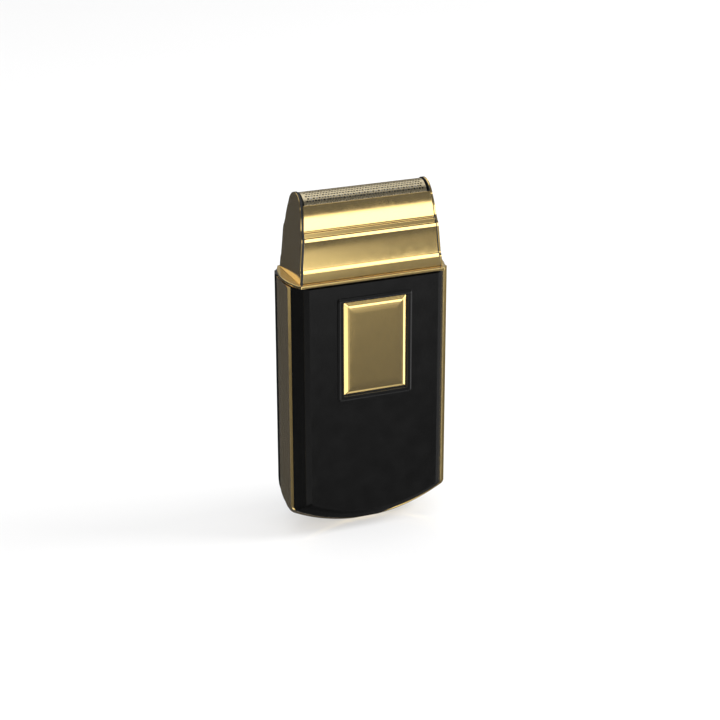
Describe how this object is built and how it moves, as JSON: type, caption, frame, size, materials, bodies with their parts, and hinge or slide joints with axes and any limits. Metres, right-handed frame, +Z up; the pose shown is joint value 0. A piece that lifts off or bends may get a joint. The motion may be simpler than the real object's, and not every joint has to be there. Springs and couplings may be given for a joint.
{
  "type": "foil shaver",
  "caption": "Slim pocket foil shaver: flat two-shell body with a metal band and an arc foot, slide switch, and a lift-off head with one arched foil over a sprung, reciprocating cutter.",
  "frame": {"origin": "on the surface the shaver stands on, under the middle of its width and depth", "axes": "+Z up through the head; -Y is the front with the switch; +X is to the right when the front is seen"},
  "size_m": [0.0522, 0.0241, 0.11],
  "materials": {
    "black_gloss": "gloss",
    "black_matte": "matte",
    "gold": "polished",
    "foil_metal": "satin",
    "steel": "satin",
    "terminal_brass": "satin",
    "board_green": "satin",
    "cell_wrap": "satin",
    "lead_red": "satin",
    "lead_black": "satin",
    "white_plastic": "satin",
    "seal_rubber": "matte"
  },
  "bodies": {
    "case": {"side_band": "gold", "front_shell": "black_gloss", "rear_shell": "black_gloss", "case_screw_1": "steel", "case_screw_2": "steel", "case_screw_3": "steel", "case_screw_4": "steel", "top_collar": "gold", "circuit_board": "board_green", "switch_body": "steel", "charge_board": "board_green", "charge_socket": "steel", "battery_cell": "cell_wrap", "battery_holder": "black_matte", "battery_tab_negative": "steel", "battery_tab_positive": "steel", "cell_lead_red": "lead_red", "cell_lead_black": "lead_black", "motor_lead_red": "lead_red", "motor_lead_black": "lead_black", "motor_can": "steel", "motor_end_cap": "white_plastic", "motor_terminal_left": "terminal_brass", "motor_terminal_right": "terminal_brass", "motor_mount": "black_matte", "motor_screw_left": "steel", "motor_screw_right": "steel", "neck_seal": "seal_rubber", "head_seat": "black_matte", "seat_screw_1": "steel", "seat_screw_2": "steel", "seat_screw_3": "steel", "seat_screw_4": "steel"},
    "switch": {"switch_frame": "black_gloss", "switch_plate": "gold", "switch_slider": "black_matte", "switch_knob": "black_matte"},
    "rotor": {"motor_shaft": "steel", "eccentric": "white_plastic"},
    "bridge": {"drive_bridge": "white_plastic", "cutter_spring_left": "steel", "cutter_spring_right": "steel"},
    "cutter": {"cutter_carrier": "black_matte", "cutter_blades": "steel"},
    "head": {"head_shell_front": "gold", "head_shell_rear": "gold", "end_plate_left": "gold", "end_plate_right": "gold", "shaving_foil": "foil_metal", "foil_frame": "black_matte", "head_frame": "black_matte", "head_clip_left": "steel", "head_clip_right": "steel"}
  },
  "joints": [
    {"name": "switch_slide", "type": "slide", "parent": "case", "child": "switch", "axis": [0, 0, 1], "range_m": [0, 0.0035]},
    {"name": "head_lift", "type": "slide", "parent": "case", "child": "head", "axis": [0, 0, 1], "range_m": [0, 0.032]},
    {"name": "motor_spin", "type": "hinge", "parent": "case", "child": "rotor", "pos_m": [0, 0, 0.08], "axis": [0, 0, 1], "continuous": true},
    {"name": "bridge_sway", "type": "slide", "parent": "case", "child": "bridge", "axis": [1, 0, 0], "range_m": [-0.0012, 0.0012]},
    {"name": "cutter_press", "type": "slide", "parent": "bridge", "child": "cutter", "axis": [0, 0, -1], "range_m": [0, 0.0012], "stiffness_N_per_m": 400, "springref_m": -0.002, "deforming": ["cutter_spring_left", "cutter_spring_right"]}
  ]
}
